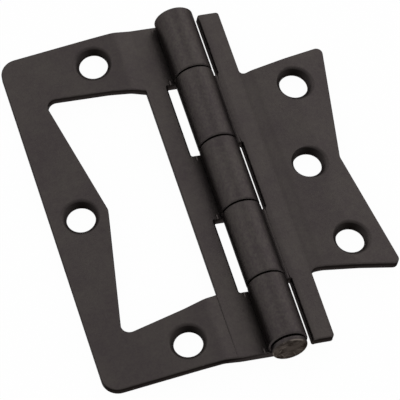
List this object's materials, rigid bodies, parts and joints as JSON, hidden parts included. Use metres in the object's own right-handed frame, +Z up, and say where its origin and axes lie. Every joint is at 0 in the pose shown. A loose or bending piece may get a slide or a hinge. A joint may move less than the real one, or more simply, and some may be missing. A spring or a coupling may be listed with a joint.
{
  "type": "surface mount hinge",
  "caption": "Flat non-mortise hinge: a frame leaf with a flared window, a smaller winged leaf that nests in it, interleaved knuckles on a fixed pin and countersunk screw holes.",
  "frame": {"origin": "on the pin's axis, at the middle of the leaves' height", "axes": "+Y along the pin, from its head to its staked end; +X towards the inner leaf; +Z up from the surface that the open hinge lies on, to the barrel's side"},
  "size_m": [0.0618, 0.0777, 0.0076],
  "materials": {
    "leaf_coating": "dark bronze satin coating on pressed steel, soft and slightly mottled, near black in the recesses",
    "pin_coating": "the same dark bronze coating on steel, rubbed and scratched on the head's face"
  },
  "bodies": {
    "frame_leaf": {"frame_leaf": "leaf_coating", "hinge_pin": "pin_coating"},
    "inner_leaf": {"inner_leaf": "leaf_coating"}
  },
  "joints": [
    {"name": "leaf_swing", "type": "hinge", "parent": "frame_leaf", "child": "inner_leaf", "pos_m": [0, 0, 0], "axis": [0, 1, 0], "range_deg": [-191.2, 110]}
  ]
}
